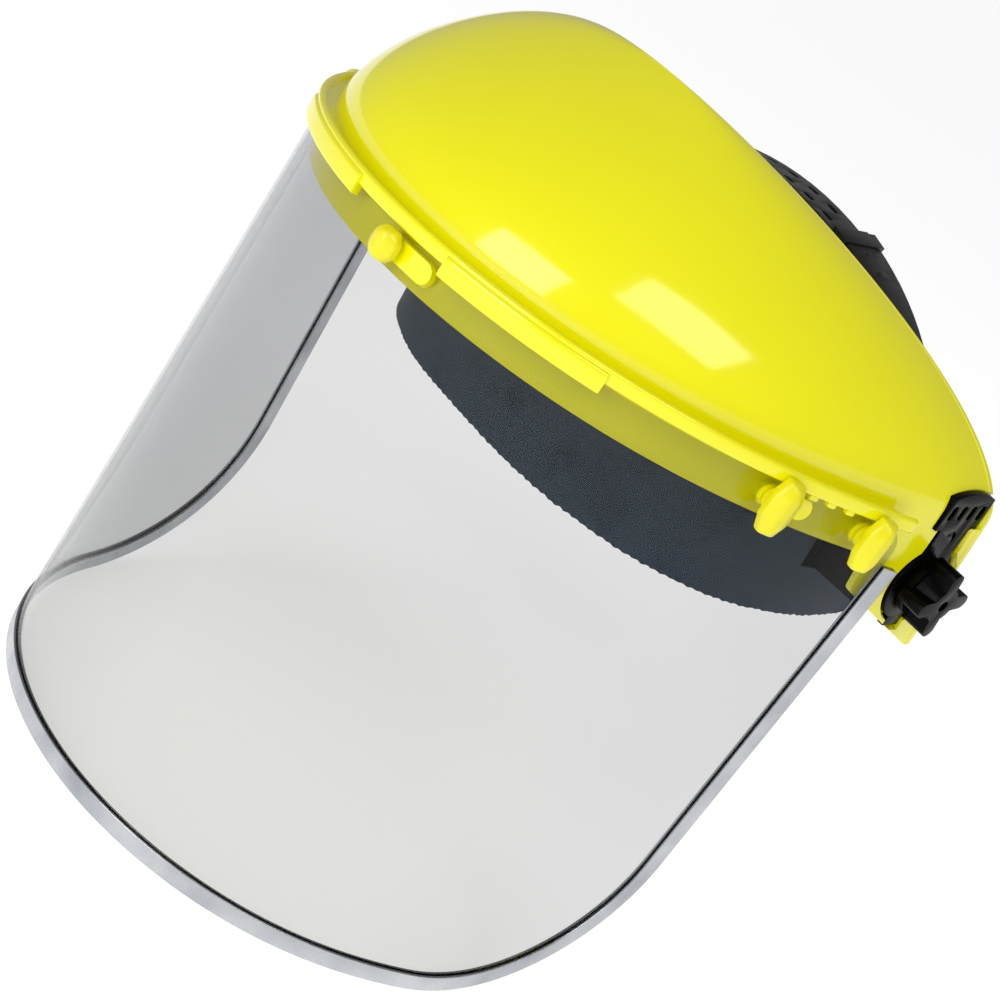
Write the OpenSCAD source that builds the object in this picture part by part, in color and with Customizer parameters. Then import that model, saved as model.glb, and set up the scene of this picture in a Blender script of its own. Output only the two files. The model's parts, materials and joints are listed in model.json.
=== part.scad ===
// Face shield: brow guard with a clear bound visor, on a ratchet headgear.
// X runs across the head (+X is the wearer's left), -Y is the front, +Z is up.
// The origin is the middle of the tilt axis, between the two side pivots.

/* [Visor] */
// Half width of the flat visor sheet, measured along its top edge
visor_half = 195; // [185:1:205]
// Height of the visor with its binding
visor_height = 199; // [150:1:240]
// Thickness of the visor sheet
visor_thickness = 1; // [0.8:0.1:1.5]
// Height of the visor's top edge above the tilt axis
visor_top = 16.9; // [16.5:0.1:17.2]
// Radius of the visor's bottom corners
visor_corner = 63; // [40:1:80]
// Width of the metal binding on the visor's edge
binding_width = 6; // [4:0.5:8]
// Thickness of the metal of the binding
binding_wall = 0.7; // [0.5:0.1:0.9]

/* [Brow guard] */
// Wall thickness of the moulded shell
shell_wall = 2.2; // [1.8:0.1:2.6]
// Distance from the tilt axis forward to the shell's front
shell_front = 151; // [150:0.5:152]
// Height of the spring line, where the dome leaves the upright wall
dome_base = 25.2; // [24:0.1:30]
// Rise of the dome above its spring line
dome_rise = 59.8; // [50:0.1:61]
// Distance of the dome's peak forward of the tilt axis
dome_peak = 87.7; // [84:0.1:92]
// Height of the lower edge of the brow strip
strip_bottom = 4.8; // [4:0.2:6]
// Height of the underside of the lip
lip_bottom = 18; // [17.6:0.1:18.4]
// Reach of the lip from the shell's wall
lip_reach = 6.5; // [6:0.1:7.5]

/* [Latches] */
// Places of the visor latches along the visor, from its middle
latch_places = [4.5, 135.5, 172.5];
// Height of the latches above the tilt axis
latch_height = 12; // [11:0.1:12.2]
// Length of a latch's wing
latch_length = 17.5; // [15:0.5:19]

/* [Side pivots] */
// Distance from the middle to the outer face of the side bosses
pivot_face = 117; // [116.8:0.1:118]
// Radius of the pivot bolt's shank
bolt_radius = 2.9; // [2.5:0.1:3.1]
// Radius of the pivot knob over its lobes
knob_radius = 12; // [11:0.5:13]

/* [Headgear] */
// Angle between the headband and the lowered visor
band_tilt = 5.7; // [3:0.1:8]
// Half width of the headband
band_half = 91; // [88:0.5:92]
// Distance from the band's widest place to its front
band_front = 87; // [84:0.5:89]
// Thickness of the headband
band_wall = 1.8; // [1.5:0.1:2.2]
// Downward slope of the nape part of the headband
nape_slope = 12; // [8:0.5:15]
// Height of the crown strap above the tilt axis
crown_height = 69; // [68:0.5:72]
// Width of the crown strap
crown_width = 19; // [17:0.5:21]

/* [Ratchet] */
// Number of teeth on the ratchet pinion
pinion_teeth = 10; // [10:2:10]
// Pitch radius of the ratchet pinion
pinion_pitch = 5; // [5:0.1:5]
// Radius of the ratchet knob
ratchet_knob_radius = 19; // [17:0.5:21]

/* [Hidden] */
$fn = 48;
YELLOW = [0.93, 0.93, 0.08];
BLACK = [0.08, 0.08, 0.09];
SLATE = [0.33, 0.38, 0.44];

// ---- plan curves -------------------------------------------------------
// A curve is [front curvature, end of the round front, start of the free end, end curvature].
// Its curvature is constant round the front and then falls steadily to the end value.
SHELL_CURVE = [1 / 104, 76.6, 154.7, 0.004];
VISOR_TOP_CURVE = [1 / 107.5, 90, 213, -0.002];
VISOR_BOTTOM_CURVE = [1 / 103, 92, 233, -0.0026];
CURVE_REACH = 240;
VISOR_FLARE = 1.0256;
visor_front = shell_front + 3;
visor_bottom_front = visor_front + 2.2;
visor_bottom = visor_top - visor_height;

function ease(t) = let (c = min(1, max(0, t))) c * c * (3 - 2 * c);
function heading(c, u) =
    let (over = max(0, min(u, c[2]) - c[1]), past = max(0, u - c[2]))
    (c[0] * min(u, c[2]) + (c[3] - c[0]) * over * over / (2 * (c[2] - c[1])) + c[3] * past) * 180 / PI;
function trace(c) = [
    for (i = 0, p = [0, 0]; i <= CURVE_REACH; i = i + 1,
        p = p + [cos(heading(c, i - 0.5)), sin(heading(c, i - 0.5))]) p
];
SHELL_TRACE = trace(SHELL_CURVE);
TOP_TRACE = trace(VISOR_TOP_CURVE);
BOTTOM_TRACE = trace(VISOR_BOTTOM_CURVE);

// Point of a traced curve at arc length s, moved outward by off, in the XY plane
function on_curve(tr, c, front, s, off) =
    let (u = abs(s), i = floor(u), f = u - i, p = tr[i] * (1 - f) + tr[i + 1] * f, h = heading(c, u))
    [sign(s) * (p[0] + off * sin(h)), p[1] - front - off * cos(h)];
function shell_plan(u, off = 0) = on_curve(SHELL_TRACE, SHELL_CURVE, shell_front, u, off);
function visor_point(s, z, off = 0) =
    let (w = (visor_top - z) / visor_height)
    let (a = on_curve(TOP_TRACE, VISOR_TOP_CURVE, visor_front, s, off))
    let (b = on_curve(BOTTOM_TRACE, VISOR_BOTTOM_CURVE, visor_bottom_front, s * VISOR_FLARE, off))
    [a[0] * (1 - w) + b[0] * w, a[1] * (1 - w) + b[1] * w, z];

// ---- solids from grids of points --------------------------------------
function flat(rows) = [for (r = rows) for (p = r) p];
// Two triangles for each cell of a grid of n rows and m columns that starts at index k
function cell_faces(n, m, k, turn) = [
    for (i = [0:n - 2]) for (j = [0:m - 2])
        let (a = k + i * m + j, b = a + 1, c = a + m + 1, d = a + m)
        each (turn ? [[a, b, c], [a, c, d]] : [[a, c, b], [a, d, c]])
];
function strip_faces(p, q, turn) = [
    for (i = [0:len(p) - 2])
        each (turn ? [[p[i], p[i + 1], q[i + 1]], [p[i], q[i + 1], q[i]]]
                   : [[p[i], q[i + 1], p[i + 1]], [p[i], q[i], q[i + 1]]])
];
// A sheet with an outer and an inner grid of points, closed round its four edges
module thick_sheet(outer, inner) {
    n = len(outer);
    m = len(outer[0]);
    k = n * m;
    first = [for (j = [0:m - 1]) j];
    last = [for (j = [0:m - 1]) (n - 1) * m + j];
    left = [for (i = [0:n - 1]) i * m];
    right = [for (i = [0:n - 1]) i * m + m - 1];
    back = function (list) [for (v = list) v + k];
    polyhedron(
        points = concat(flat(outer), flat(inner)),
        faces = concat(
            cell_faces(n, m, 0, true), cell_faces(n, m, k, false),
            strip_faces(first, back(first), false), strip_faces(last, back(last), true),
            strip_faces(left, back(left), true), strip_faces(right, back(right), false)),
        convexity = 10);
}
// A closed outline carried along a path; rings holds the outline at each station
module ring_sweep(rings) {
    n = len(rings);
    m = len(rings[0]);
    polyhedron(
        points = flat(rings),
        faces = concat(
            [for (i = [0:n - 2]) for (j = [0:m - 1])
                let (a = i * m + j, b = i * m + (j + 1) % m)
                each [[a, b, b + m], [a, b + m, a + m]]],
            [[for (j = [m - 1:-1:0]) j]],
            [[for (j = [0:m - 1]) (n - 1) * m + j]]),
        convexity = 10);
}

module rounded_bar(size, r) {
    square([size[0] - 2 * r, size[1]], center = true);
    square([size[0], size[1] - 2 * r], center = true);
    for (sx = [-1, 1]) for (sy = [-1, 1])
        translate([sx * (size[0] / 2 - r), sy * (size[1] / 2 - r)]) circle(r);
}
// Children's Z axis becomes the +X axis, and their Y axis stays
module along_x() { rotate([90, 0, 90]) children(); }
module both_sides() { children(); mirror([1, 0, 0]) children(); }

// ---- brow guard --------------------------------------------------------
SHELL_END = 225;
DOME_POWER = 1.212;
DOME_ROWS = 13;
STRIP_REACH = 181;
LIP_REACH_ALONG = 182;

function dome_point(u, phi, inset) =
    let (p = shell_plan(u, -inset), c = cos(phi), s = sin(phi))
    [p[0] * c, p[1] * c * c - dome_peak * s * s, dome_base + (dome_rise - inset) * pow(s, DOME_POWER)];
// Lower edge of the upright wall at arc length u: level under the visor, then down to the pivot tab
TAB_FRONT = 184.5;
TAB_TOP = -8;
TAB_TIP = -22.5;
TAB_SLOPE = 0.312;
REAR_LEAN = 10;
function wall_low(u) =
    let (a = abs(u))
    a < TAB_FRONT
    ? strip_bottom + (TAB_TOP - strip_bottom) * ease((a - STRIP_REACH) / (TAB_FRONT - STRIP_REACH))
    : max(TAB_TOP - (a - TAB_FRONT) * TAB_SLOPE, TAB_TIP);
// Point of the wall's lower edge; the rear edge leans back by REAR_LEAN at its foot
function wall_foot(u, inset) =
    let (v = u + sign(u) * REAR_LEAN * ease((abs(u) - 200) / (SHELL_END - 200)), p = shell_plan(v, -inset))
    [p[0], p[1], wall_low(v)];
SHELL_HALF = concat(
    [for (i = [0:18]) i * STRIP_REACH / 18],
    [182.2, 183.4, TAB_FRONT],
    [for (a = [191:6.8:SHELL_END]) a]);
function mirrored(list) = concat([for (i = [len(list) - 1:-1:1]) -list[i]], list);
SHELL_STATIONS = mirrored(SHELL_HALF);
function shell_grid(inset) = concat(
    [for (i = [DOME_ROWS:-1:0]) let (phi = min(88.5, i * 90 / DOME_ROWS))
        [for (u = SHELL_STATIONS) dome_point(u, phi, inset)]],
    [[for (u = SHELL_STATIONS) wall_foot(u, inset)]]);

// A rib swept round the shell from arc length a to b; outline holds [outward, height] pairs
module wall_rib(a, b, outline, stations) {
    ring_sweep([
        for (i = [0:stations]) let (u = a + (b - a) * i / stations)
            [for (q = outline) let (p = shell_plan(u, q[0])) [p[0], p[1], q[1]]]
    ]);
}
RIB_TOP = lip_bottom + 4.6;
LIP = [
    [-1, lip_bottom], [lip_reach - 0.5, lip_bottom], [lip_reach, lip_bottom + 0.8],
    [lip_reach, RIB_TOP - 0.8], [lip_reach - 0.7, RIB_TOP], [lip_reach - 1.5, RIB_TOP],
    [lip_reach - 2.2, RIB_TOP - 0.9], [lip_reach - 2.3, lip_bottom + 2.2], [-1, lip_bottom + 2.4]
];
SKIRT = [
    [lip_reach - 2.2, lip_bottom - 3.2], [lip_reach + 0.5, lip_bottom - 3.2],
    [lip_reach + 0.8, lip_bottom - 2.6], [lip_reach + 0.8, lip_bottom + 2.4],
    [lip_reach + 0.2, lip_bottom + 3.4], [lip_reach - 2.2, lip_bottom + 3.4]
];
SKIRT_SPANS = [[-73, -15.5], [22, 73]];
NIB = [[3.9, lip_bottom - 1.4], [6, lip_bottom - 1.4], [6, lip_bottom + 0.5], [3.9, lip_bottom + 0.5]];
NIB_PLACES = [142, 149, 156.5];

// Frame of a latch: Z points straight out of the visor, Y up
module at_latch(s) {
    p = visor_point(s, latch_height);
    translate(p) rotate([90, 0, sign(s) * heading(VISOR_TOP_CURVE, abs(s))]) children();
}
module each_latch() {
    at_latch(latch_places[0]) children();
    for (s = [latch_places[1], latch_places[2]]) for (side = [-1, 1]) at_latch(side * s) children();
}
// Each latch stands near the front end of an oblong boss: distance from the latch to the boss's middle,
// and half the straight part of the boss
BOSS_SHIFTS = [5.5, 5, 3.5];
BOSS_HALVES = [7.5, 6, 4.6];
module each_boss() {
    for (i = [0:2]) for (side = i == 0 ? [1] : [-1, 1])
        at_latch(side * (latch_places[i] + BOSS_SHIFTS[i])) let ($half = BOSS_HALVES[i]) children();
}
LATCH_BORE = 2.8;
LATCH_SHANK = 2.5;
BOSS_TOP = 0.8;

module oblong(half, radius) {
    square([2 * half, 2 * radius], center = true);
    for (sx = [-1, 1]) translate([sx * half, 0]) circle(radius);
}
module latch_boss() { translate([0, 0, -6]) linear_extrude(6 + BOSS_TOP) oblong($half, 3.3); }

// Outline of the stop plate in the side view: Y to the right, Z up
PLATE_DISC = 13.5;
PLATE_LEAN = 7;
PAD_RADIUS = 16;
PLATE_NECK = 16;
PLATE_HEAD = 23;
PLATE_TOP = 34;
module plate_outline(grow) {
    circle(PLATE_DISC + grow, $fn = 64);
    translate([-PLATE_NECK / 2 - grow, 0]) square([PLATE_NECK + 2 * grow, 24]);
    intersection() {
        translate([-PLATE_HEAD / 2 - grow, 20.5 - grow]) square([PLATE_HEAD + 2 * grow, 20]);
        circle(PLATE_TOP + grow, $fn = 96);
    }
    translate([-4 - grow, -PLATE_DISC - 3 - grow]) square([8 + 2 * grow, 6]);
}
PLATE_THICKNESS = 2.4;
BORE_RADIUS = bolt_radius + 0.4;
PAD_INNER = 114.5;

module brow_guard() color(YELLOW) {
    difference() {
        union() {
            thick_sheet(shell_grid(0), shell_grid(shell_wall));
            wall_rib(-LIP_REACH_ALONG, LIP_REACH_ALONG, LIP, 44);
            for (span = SKIRT_SPANS) wall_rib(span[0], span[1], SKIRT, 10);
            for (side = [-1, 1]) {
                for (u = NIB_PLACES) wall_rib(side * u - 1.5, side * u + 1.5, NIB, 1);
                scale([side, 1, 1]) translate([PAD_INNER, 0, 0]) along_x()
                    linear_extrude(pivot_face - PAD_INNER + 0.6) circle(PAD_RADIUS, $fn = 64);
            }
            each_boss() latch_boss();
        }
        for (side = [-1, 1]) scale([side, 1, 1]) {
            translate([100, 0, 0]) along_x() cylinder(r = BORE_RADIUS, h = 40);
            translate([pivot_face, 0, 0]) rotate([PLATE_LEAN, 0, 0]) along_x()
                linear_extrude(12) plate_outline(0.4);
        }
        each_latch() translate([0, 0, -12]) cylinder(r = LATCH_BORE, h = 20, $fn = 32);
    }
}

// ---- stop plates -------------------------------------------------------
module stop_plate() {
    slot_pitch = 5.4;
    difference() {
        linear_extrude(PLATE_THICKNESS) plate_outline(0);
        translate([0, 0, -1]) cylinder(r = BORE_RADIUS, h = 6);
        for (k = [-1.5:1:1.5])
            translate([k * slot_pitch, 27, -1]) linear_extrude(6) rounded_bar([2.6, 5.2], 1.2);
        translate([0, 17.4, PLATE_THICKNESS - 0.6]) difference() {
            cylinder(r = 2.6, h = 2, $fn = 32);
            translate([-0.9, -1.2, -1]) cylinder(r = 2.5, h = 4, $fn = 32);
        }
    }
}
module placed_plate() { translate([pivot_face, 0, 0]) rotate([PLATE_LEAN, 0, 0]) along_x() stop_plate(); }
module stop_plate_left() color(BLACK) placed_plate();
module stop_plate_right() color(BLACK) mirror([1, 0, 0]) placed_plate();

// ---- visor -------------------------------------------------------------
SHEET_HALF = visor_half - 1;
SHEET_BOTTOM = visor_bottom + 1;
SHEET_CORNER = visor_corner - 1;
BINDING_START = 4.5;
TOP_CORNER = 8;
TOP_HALF = 188;
function sheet_high(s) =
    let (a = abs(s), over = a - (TOP_HALF - TOP_CORNER))
    over <= 0 ? visor_top
    : over <= TOP_CORNER ? visor_top - TOP_CORNER + sqrt(TOP_CORNER * TOP_CORNER - over * over)
    : BINDING_START;
function sheet_low(s) =
    let (over = abs(s) - (SHEET_HALF - SHEET_CORNER))
    over <= 0 ? SHEET_BOTTOM
    : SHEET_BOTTOM + SHEET_CORNER - sqrt(max(0, SHEET_CORNER * SHEET_CORNER - over * over));
SHEET_HALF_STATIONS = concat(
    [for (i = [0:18]) i * (SHEET_HALF - SHEET_CORNER) / 18],
    [for (i = [1:9]) SHEET_HALF - SHEET_CORNER + SHEET_CORNER * sin(i * 5.8)],
    [TOP_HALF - TOP_CORNER * 0.6, TOP_HALF - TOP_CORNER * 0.2, TOP_HALF, TOP_HALF + 0.4, 191.5, SHEET_HALF]);
SHEET_STATIONS = mirrored(SHEET_HALF_STATIONS);
function sheet_grid(off) = [
    for (top = [true, false])
        [for (s = SHEET_STATIONS) visor_point(s, top ? sheet_high(s) : sheet_low(s), off)]
];
module visor() color([0.8, 0.85, 0.9, 0.35]) difference() {
    thick_sheet(sheet_grid(visor_thickness / 2), sheet_grid(-visor_thickness / 2));
    each_boss() translate([0, 0, -3]) linear_extrude(6) oblong($half + 0.6, 3.7);
}

// Stations round the visor's edge as [centre s, centre z, angle]; the edge lies visor_corner from the centre
CORNER_S = visor_half - visor_corner;
CORNER_Z = visor_bottom + visor_corner;
EDGE_RIGHT = concat(
    [[CORNER_S, BINDING_START, 0], [CORNER_S, -50, 0]],
    [for (i = [0:12]) [CORNER_S, CORNER_Z, i * 7.5]],
    [for (i = [1:18]) [CORNER_S * (1 - i / 18), CORNER_Z, 90]]);
EDGE_LEFT = [for (i = [len(EDGE_RIGHT) - 2:-1:0])
    [-EDGE_RIGHT[i][0], EDGE_RIGHT[i][1], 180 - EDGE_RIGHT[i][2]]];
EDGE_PATH = concat(EDGE_RIGHT, EDGE_LEFT);
BINDING_FIT = 0.15;
BINDING = let (t = visor_thickness / 2 + BINDING_FIT, w = t + binding_wall, floor = 1 - BINDING_FIT) [
    [0, -w + 0.3], [0, w - 0.3], [0.4, w], [binding_width, w], [binding_width, t], [floor, t],
    [floor, -t], [binding_width, -t], [binding_width, -w], [0.4, -w]
];
module visor_binding() color("silver") ring_sweep([
    for (e = EDGE_PATH)
        [for (q = BINDING) let (r = visor_corner - q[0])
            visor_point(e[0] + r * cos(e[2]), e[1] - r * sin(e[2]), q[1])]
]);

// ---- latches -----------------------------------------------------------
LATCH_CLEAR = 0.7;
// The side wings turn outside the lip, so their face stands clear of the lip's outer face
LATCH_WING_FACE = lip_reach - 2.3;
function wing_outline(x, y) = [
    [-x, -y * 0.42], [-x * 0.54, -y], [x * 0.54, -y], [x, -y * 0.42],
    [x, y * 0.42], [x * 0.54, y], [-x * 0.54, y], [-x, y * 0.42]
];
module latch(face, wing) {
    under = BOSS_TOP + LATCH_CLEAR;
    translate([0, 0, -9.6]) cylinder(r = LATCH_SHANK, h = under + 10.6);
    translate([0, 0, -9.6]) cylinder(r1 = 3, r2 = 4, h = 1.4);
    translate([0, 0, under]) cylinder(r = 4, h = face - under + 0.5);
    translate([0, 0, face]) hull() {
        linear_extrude(3) polygon(wing_outline(4.8, wing));
        translate([-0.5, -wing * 0.84, 0]) cube([1, wing * 1.68, 5]);
        translate([-1.4, -wing * 0.5, 0]) cube([2.8, wing, 5.6]);
    }
}
module latch_centre() color(YELLOW) at_latch(latch_places[0]) latch(2.2, 4.8);
module latch_left_front() color(YELLOW) at_latch(latch_places[1]) latch(LATCH_WING_FACE, latch_length / 2);
module latch_left_rear() color(YELLOW) at_latch(latch_places[2]) latch(LATCH_WING_FACE, latch_length / 2);
module latch_right_front() color(YELLOW) at_latch(-latch_places[1]) latch(LATCH_WING_FACE, latch_length / 2);
module latch_right_rear() color(YELLOW) at_latch(-latch_places[2]) latch(LATCH_WING_FACE, latch_length / 2);

// ---- headgear ----------------------------------------------------------
BAND_MIDDLE = 17;
BAND_POWER = 2.5;
NAPE_POWER = 2.6;
NAPE_DEPTH = 50;
NAPE_STRAIGHT = 42;
BAND_LEVEL = -11;
BAND_TOP = BAND_LEVEL + 15.5;
BAND_END = 39.5;
module headgear_frame() { rotate([band_tilt, 0, 0]) children(); }
module nape_frame() {
    headgear_frame() translate([0, BAND_MIDDLE, BAND_LEVEL]) rotate([-nape_slope, 0, 0]) children();
}

// Plan of the band's front, as a superellipse; angle 0 is the front and 90 the widest place
function front_plan(a, off) =
    [sign(a) * (band_half + off) * pow(abs(sin(a)), 2 / BAND_POWER),
     BAND_MIDDLE - (band_front + off) * pow(max(0, cos(a)), 2 / BAND_POWER)];
// Distance along the sloping nape part and half width of the band, for a place t past the widest place
function nape_plan(x, off) =
    let (r = min(1, abs(x) / band_half))
    [sign(x) * (abs(x) + off * pow(r, 2)),
     NAPE_STRAIGHT + (NAPE_DEPTH + off) * pow(max(0, 1 - pow(r, NAPE_POWER)), 1 / NAPE_POWER)];
function slope_run(y) = (sqrt(y * y + 64) + y) / 2;
function side_point(x, y, rise) =
    let (t = nape_slope * ease((y + 4) / 24))
    [x, BAND_MIDDLE + y * cos(nape_slope) + rise * sin(t),
     BAND_LEVEL - slope_run(y) * sin(nape_slope) + rise * cos(t)];
function half_height(y) = 15.5 - 7.5 * ease((y + 5) / 55);

FRONT_ANGLES = [for (i = [0:20]) 84 * i / 20];
function front_ring(a, low, high, inner, outer) =
    [for (q = [[inner, low], [outer, low], [outer, high], [inner, high]])
        let (p = front_plan(a, q[0])) [p[0], p[1], q[1]]];
function band_side_ring(side, x, y, nape) =
    let (h = half_height(y))
    [for (q = [[-band_wall, -h], [0, -h], [0, h], [-band_wall, h]])
        let (p = nape ? nape_plan(side * x, q[0]) : [side * (band_half + q[0]), y])
        side_point(p[0], p[1], q[1])];
function band_half_rings(side) = concat(
    [for (a = FRONT_ANGLES) if (side > 0 || a > 0)
        front_ring(side * a, BAND_LEVEL - 15.5, BAND_TOP, -band_wall, 0)],
    [for (y = [4:9.5:NAPE_STRAIGHT]) band_side_ring(side, band_half, y, false)],
    [for (i = [0:16]) let (x = BAND_END + (band_half - 0.4 - BAND_END) * pow(cos(i * 5.625), 0.8))
        band_side_ring(side, x, NAPE_STRAIGHT + 20, true)]);
function reversed(list) = [for (i = [len(list) - 1:-1:0]) list[i]];
BAND_RINGS = concat(reversed(band_half_rings(-1)), band_half_rings(1));

module headband() color(BLACK) headgear_frame() difference() {
    ring_sweep(BAND_RINGS);
    both_sides() translate([80, -2, 0]) along_x() {
        for (y = [STRAP_PLANE - 5.5, STRAP_PLANE + 5.5])
            translate([y + 2, STRAP_RIVET_LEVEL, 0]) cylinder(r = 1.6, h = 20, $fn = 24);
        for (f = ARM_FEET)
            translate([f[0] + 2, ARM_RIVET_LEVEL, 0]) cylinder(r = 1.6, h = 20, $fn = 24);
    }
}

// Foam sleeve inside the band, hooked over its top
SWEATBAND_END = 74;
SWEAT_LOW = -32;
SWEAT_HIGH = 8;
SWEAT_FIT = 0.2;
SWEAT_OUTER = 3.4;
SLEEVE = [
    [-9, SWEAT_LOW], [-band_wall - SWEAT_FIT, SWEAT_LOW], [-band_wall - SWEAT_FIT, BAND_TOP + SWEAT_FIT],
    [SWEAT_OUTER, BAND_TOP + SWEAT_FIT], [SWEAT_OUTER, SWEAT_HIGH - 1], [SWEAT_OUTER - 1, SWEAT_HIGH],
    [-8, SWEAT_HIGH], [-9, SWEAT_HIGH - 1]
];
module sweatband() color(SLATE) headgear_frame()
    ring_sweep([for (i = [-20:20]) let (a = SWEATBAND_END * i / 20)
        [for (q = SLEEVE) let (p = front_plan(a, q[0])) [p[0], p[1], q[1]]]]);

// Fabric flap outside the band; past the sleeve's end it runs on below the pivot arms
FLAP_LOW = -35.5;
FLAP_UNDER_ARM = -15.8;
FLAP_BACK = 15;
FLAP_FRONT_ANGLES = concat([for (i = [0:18]) SWEATBAND_END * i / 18], [75.5], [for (a = [79:3.6:90]) a]);
function flap_plan(a, back, off) = let (p = front_plan(a, off)) [p[0], p[1] + back];
function flap_ring(side, a, back, low, high) =
    [for (q = [[SWEAT_FIT, low], [SWEAT_OUTER, low], [SWEAT_OUTER, high], [SWEAT_FIT, high]])
        let (p = flap_plan(side * a, back, q[0])) [p[0], p[1], q[1]]];
function flap_half(side) = concat(
    [for (a = FLAP_FRONT_ANGLES) if (side > 0 || a > 0)
        flap_ring(side, a, 0, FLAP_LOW, a > SWEATBAND_END ? FLAP_UNDER_ARM : BAND_TOP)],
    [for (back = [3, 6, 9, 12, FLAP_BACK])
        flap_ring(side, 90, back, FLAP_LOW + 9 * pow(back / FLAP_BACK, 3), FLAP_UNDER_ARM)]);
module sweatband_flap() color(SLATE) headgear_frame()
    ring_sweep(concat(reversed(flap_half(-1)), flap_half(1)));

// Crown straps lie in one upright plane of the headgear; angle 0 is the left side and 90 the top
STRAP_PLANE = 10.5;
STRAP_HALF = 92.4;
STRAP_FOOT = -14;
STRAP_RIVET_LEVEL = -9.5;
STRAP_THICK = 1.6;
BUCKLE_ANGLE = 74;
STRAP_OVERLAP = 58;
function strap_point(a, off, y) =
    [(STRAP_HALF + off) * cos(a), STRAP_PLANE + y, (crown_height + off - STRAP_THICK) * sin(a)];
function strap_ring(a, off, half, thick) =
    [for (q = [[-half, off], [half, off], [half, off + thick], [-half, off + thick]])
        strap_point(a, q[1], q[0])];
// The upright foot of a strap, on the band's outer face
function foot_ring(side, z, thick) =
    let (half = crown_width / 2, step = STRAP_HALF - band_half - 0.1)
    [for (q = [[-half, 0], [half, 0], [half, thick], [-half, thick]])
        [side * (STRAP_HALF + q[1] - step * ease(-z / 5)), STRAP_PLANE + q[0], z]];
module strap_slots(from, to, step, off) {
    for (a = [from:step:to]) for (row = [-1, 1])
        translate(strap_point(a + row * step / 4, off, row * 4.2))
            rotate([0, 90 - atan2(crown_height * sin(a), STRAP_HALF * cos(a)), 0])
                translate([0, 0, -3]) linear_extrude(6) rounded_bar([4.6, 2.2], 1);
}
module strap_rivet_holes(x)
    for (y = [-5.5, 5.5]) translate([x, STRAP_PLANE + y, STRAP_RIVET_LEVEL]) along_x()
        cylinder(r = 1.6, h = 20, $fn = 24);
module crown_strap_left() color(BLACK) headgear_frame() difference() {
    union() {
        ring_sweep(concat(
            [for (z = [STRAP_FOOT, -9, -6, -3]) foot_ring(1, z, STRAP_THICK)],
            [for (i = [0:22])
                strap_ring(BUCKLE_ANGLE * i / 22, 1.9 * ease(i / 8), crown_width / 2, STRAP_THICK)]));
        // buckle bars that hold the other strap's end
        translate(strap_point(BUCKLE_ANGLE - 3, 0, 0)) rotate([0, 90 - BUCKLE_ANGLE - 1, 0]) difference() {
            translate([-3, -crown_width / 2 - 1.8, -1.9]) cube([6, crown_width + 3.6, 6.1]);
            translate([-5, -crown_width / 2 - 0.4, -0.5]) cube([10, crown_width + 0.8, 3]);
        }
        for (a = [62, 66.8]) translate(strap_point(a, 3, 0))
            rotate([0, 90 - atan2(crown_height * sin(a), STRAP_HALF * cos(a)), 0])
                translate([0, 0, -5.6]) cylinder(r = 1.8, h = 6, $fn = 24);
    }
    strap_rivet_holes(80);
}
module crown_strap_right() color(BLACK) headgear_frame() difference() {
    ring_sweep(concat(
        [for (i = [0:30])
            strap_ring(STRAP_OVERLAP + (180 - STRAP_OVERLAP) * i / 30, 0, crown_width / 2, STRAP_THICK)],
        [for (z = [-3, -6, -9, STRAP_FOOT]) foot_ring(-1, z, STRAP_THICK)]));
    strap_slots(80, 128, 6, 0.8);
    for (a = [62, 66.8]) translate(strap_point(a, 0, 0))
        rotate([0, 90 - atan2(crown_height * sin(a), STRAP_HALF * cos(a)), 0])
            translate([0, 0, -4]) cylinder(r = 2, h = 8, $fn = 24);
    strap_rivet_holes(-100);
}

// A rivet along X with its shank between two faces
module rivet(from, to) {
    translate([from - 0.9, 0, 0]) along_x() cylinder(r = 2.8, h = 0.9, $fn = 24);
    translate([from, 0, 0]) along_x() cylinder(r = 1.5, h = to - from, $fn = 24);
    translate([to, 0, 0]) along_x() cylinder(r = 2.8, h = 0.9, $fn = 24);
}
module strap_rivets() color("gray") headgear_frame() both_sides()
    for (y = [-5.5, 5.5]) translate([0, STRAP_PLANE + y, STRAP_RIVET_LEVEL])
        rivet(band_half - band_wall - 0.4, band_half + STRAP_THICK + 0.4);

// ---- side pivots -------------------------------------------------------
ARM_FACE = 112.4;
ARM_WALL = 3;
ARM_BOTTOM = -15;
ARM_TOP = 10;
ARM_FEET = [[-4, band_half - band_wall - 1.7], [38, band_half - band_wall - 0.1]];
ARM_RIVET_LEVEL = -8;
FOOT_FACE = band_half + 2.3;
ARM_PLAN = [
    [band_half - 2.25, -12], [ARM_FACE, -10], [ARM_FACE, 10], [band_half + 10, 25], [band_half + 5, 31],
    [FOOT_FACE, 32.5], [FOOT_FACE, 44], [band_half + 0.1, 44], [band_half + 0.1, 28],
    [band_half + 6, 23], [ARM_FACE - ARM_WALL, 7], [ARM_FACE - ARM_WALL, -7], [FOOT_FACE, -9],
    [FOOT_FACE, 0.5], [band_half - 0.45, 0.5], [band_half - 1.2, -6]
];
module pivot_arm() {
    difference() {
        union() {
            translate([0, 0, ARM_BOTTOM]) linear_extrude(ARM_TOP - ARM_BOTTOM) polygon(ARM_PLAN);
            translate([ARM_FACE - ARM_WALL, 0, 0]) along_x() cylinder(r = 11, h = ARM_WALL);
        }
        translate([ARM_FACE - 6, -3.1, -3.1]) cube([10, 6.2, 6.2]);
        for (f = ARM_FEET) translate([80, f[0], ARM_RIVET_LEVEL]) along_x()
            cylinder(r = 1.6, h = 18, $fn = 24);
    }
}
module pivot_arm_left() color(BLACK) headgear_frame() pivot_arm();
module pivot_arm_right() color(BLACK) headgear_frame() mirror([1, 0, 0]) pivot_arm();
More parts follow.
